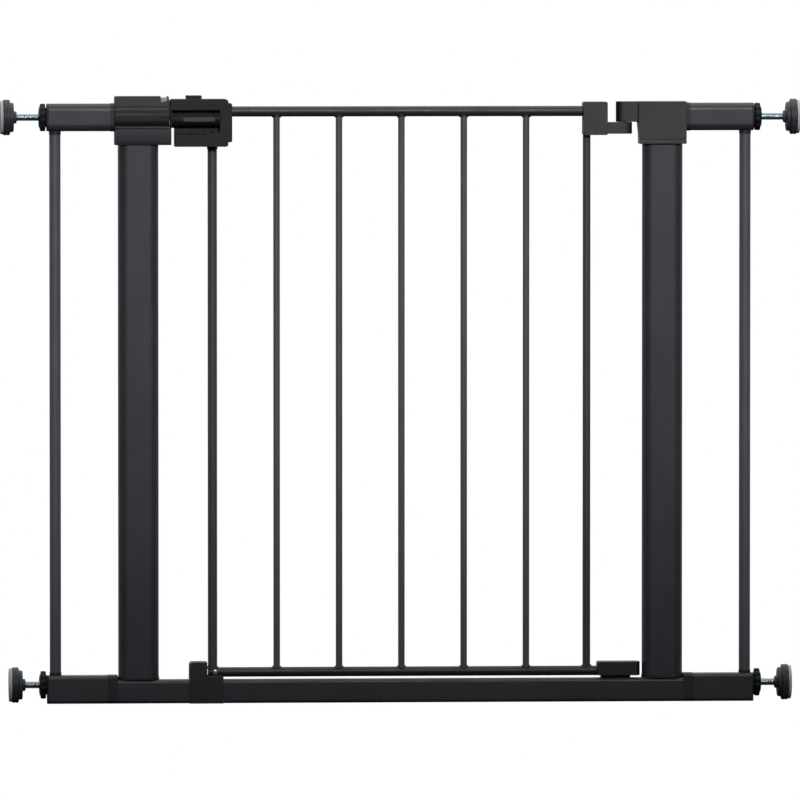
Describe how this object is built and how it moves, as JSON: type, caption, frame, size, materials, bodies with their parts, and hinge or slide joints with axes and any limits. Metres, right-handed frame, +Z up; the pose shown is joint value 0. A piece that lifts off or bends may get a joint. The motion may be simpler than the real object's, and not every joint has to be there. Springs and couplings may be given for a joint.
{
  "type": "safety gate",
  "caption": "Pressure-mounted child safety gate: post-and-rail frame, barred swing door with lift-and-slide latch, and screw-out wall pads.",
  "frame": {"origin": "on the floor, under the middle of the frame's width and depth", "axes": "+X to the hinge side of the doorway, -Y towards the side the latch is shown from, +Z up"},
  "size_m": [0.988, 0.044, 0.75],
  "materials": {
    "frame_paint": "satin charcoal powder coat",
    "door_paint": "satin charcoal powder coat",
    "black_plastic": "fine moulded grain",
    "housing_plastic": "fine moulded grain",
    "handle_plastic": "fine moulded grain",
    "grip_plastic": "satin",
    "zinc_steel": "bright zinc plate",
    "bearing_plastic": "smooth, self-lubricating",
    "indicator_green": "pale green, satin",
    "wheel_plastic": "fine moulded grain",
    "rod_zinc": "blue-passivated zinc plate",
    "pad_plastic": "fine moulded grain",
    "pad_rubber": "soft, matt"
  },
  "bodies": {
    "frame": {"bottom_rail": "frame_paint", "left_post": "frame_paint", "right_post": "frame_paint", "post_feet": "black_plastic", "left_arm": "frame_paint", "right_arm": "frame_paint", "left_extension_rail": "frame_paint", "right_extension_rail": "frame_paint", "left_outer_bar": "frame_paint", "right_outer_bar": "frame_paint", "rail_joints": "black_plastic", "frame_collars": "black_plastic", "end_plugs": "black_plastic", "arm_spigots": "black_plastic", "latch_housing_front": "housing_plastic", "latch_housing_rear": "housing_plastic", "latch_keeper": "zinc_steel", "housing_screws": "zinc_steel", "hinge_cap": "housing_plastic", "top_hinge_pin": "zinc_steel", "lower_hinge_foot": "black_plastic", "lower_hinge_pin": "zinc_steel", "floor_catch": "black_plastic", "base_screws": "zinc_steel"},
    "hinge_carrier": {"top_hinge_bush": "bearing_plastic", "lower_hinge_ball": "bearing_plastic"},
    "door": {"door_top_rail": "door_paint", "door_bottom_rail": "door_paint", "latch_stile": "door_paint", "hinge_stile": "door_paint", "door_bars": "door_paint", "door_weld_collars": "door_paint", "handle_front": "handle_plastic", "handle_rear": "handle_plastic", "grip_barrel": "grip_plastic", "handle_screws": "zinc_steel", "stile_collar": "black_plastic", "upper_hinge_block": "housing_plastic", "lower_hinge_block": "black_plastic", "catch_pin": "zinc_steel", "latch_spring": "zinc_steel"},
    "release": {"release_button": "handle_plastic", "latch_bolt": "zinc_steel"},
    "indicator": {"lock_indicator": "indicator_green"},
    "top_left_handwheel": {"top_left_wheel": "wheel_plastic"},
    "top_left_spindle": {"top_left_rod": "rod_zinc", "top_left_pad": "pad_plastic", "top_left_pad_face": "pad_rubber"},
    "top_right_handwheel": {"top_right_wheel": "wheel_plastic"},
    "top_right_spindle": {"top_right_rod": "rod_zinc", "top_right_pad": "pad_plastic", "top_right_pad_face": "pad_rubber"},
    "bottom_left_handwheel": {"bottom_left_wheel": "wheel_plastic"},
    "bottom_left_spindle": {"bottom_left_rod": "rod_zinc", "bottom_left_pad": "pad_plastic", "bottom_left_pad_face": "pad_rubber"},
    "bottom_right_handwheel": {"bottom_right_wheel": "wheel_plastic"},
    "bottom_right_spindle": {"bottom_right_rod": "rod_zinc", "bottom_right_pad": "pad_plastic", "bottom_right_pad_face": "pad_rubber"}
  },
  "joints": [
    {"name": "door_swing", "type": "hinge", "parent": "frame", "child": "hinge_carrier", "pos_m": [0.2765, 0, 0.0409], "axis": [0, 0, 1], "range_deg": [-95, 95]},
    {"name": "door_lift", "type": "hinge", "parent": "hinge_carrier", "child": "door", "pos_m": [0.2765, 0, 0.0409], "axis": [0, 1, 0], "range_deg": [0, 0.5]},
    {"name": "release_slide", "type": "slide", "parent": "door", "child": "release", "axis": [1, 0, 0], "range_m": [0, 0.008], "stiffness_N_per_m": 250, "springref_m": -0.008, "deforming": ["latch_spring"]},
    {"name": "indicator_drop", "type": "slide", "parent": "frame", "child": "indicator", "axis": [0, 0, -1], "range_m": [0, 0.0055]},
    {"name": "top_left_rod_travel", "type": "slide", "parent": "frame", "child": "top_left_spindle", "axis": [-1, 0, 0], "range_m": [-0.026, 0.012]},
    {"name": "top_left_wheel_turn", "type": "hinge", "parent": "frame", "child": "top_left_handwheel", "pos_m": [-0.44175, 0, 0.723], "axis": [-1, 0, 0], "range_deg": [-2165, 4685]},
    {"name": "top_right_rod_travel", "type": "slide", "parent": "frame", "child": "top_right_spindle", "axis": [1, 0, 0], "range_m": [-0.026, 0.012]},
    {"name": "top_right_wheel_turn", "type": "hinge", "parent": "frame", "child": "top_right_handwheel", "pos_m": [0.44175, 0, 0.723], "axis": [1, 0, 0], "range_deg": [-2165, 4685]},
    {"name": "bottom_left_rod_travel", "type": "slide", "parent": "frame", "child": "bottom_left_spindle", "axis": [-1, 0, 0], "range_m": [-0.016, 0.022]},
    {"name": "bottom_left_wheel_turn", "type": "hinge", "parent": "frame", "child": "bottom_left_handwheel", "pos_m": [-0.44175, 0, 0.023], "axis": [-1, 0, 0], "range_deg": [-3965, 2885]},
    {"name": "bottom_right_rod_travel", "type": "slide", "parent": "frame", "child": "bottom_right_spindle", "axis": [1, 0, 0], "range_m": [-0.016, 0.022]},
    {"name": "bottom_right_wheel_turn", "type": "hinge", "parent": "frame", "child": "bottom_right_handwheel", "pos_m": [0.44175, 0, 0.023], "axis": [1, 0, 0], "range_deg": [-3965, 2885]}
  ],
  "couplings": [
    {"joint": "indicator_drop", "follows": "release_slide", "ratio": 0.6875},
    {"joint": "top_left_wheel_turn", "follows": "top_left_rod_travel", "rad_per_m": -3141.6},
    {"joint": "top_right_wheel_turn", "follows": "top_right_rod_travel", "rad_per_m": -3141.6},
    {"joint": "bottom_left_wheel_turn", "follows": "bottom_left_rod_travel", "rad_per_m": -3141.6},
    {"joint": "bottom_right_wheel_turn", "follows": "bottom_right_rod_travel", "rad_per_m": -3141.6}
  ]
}
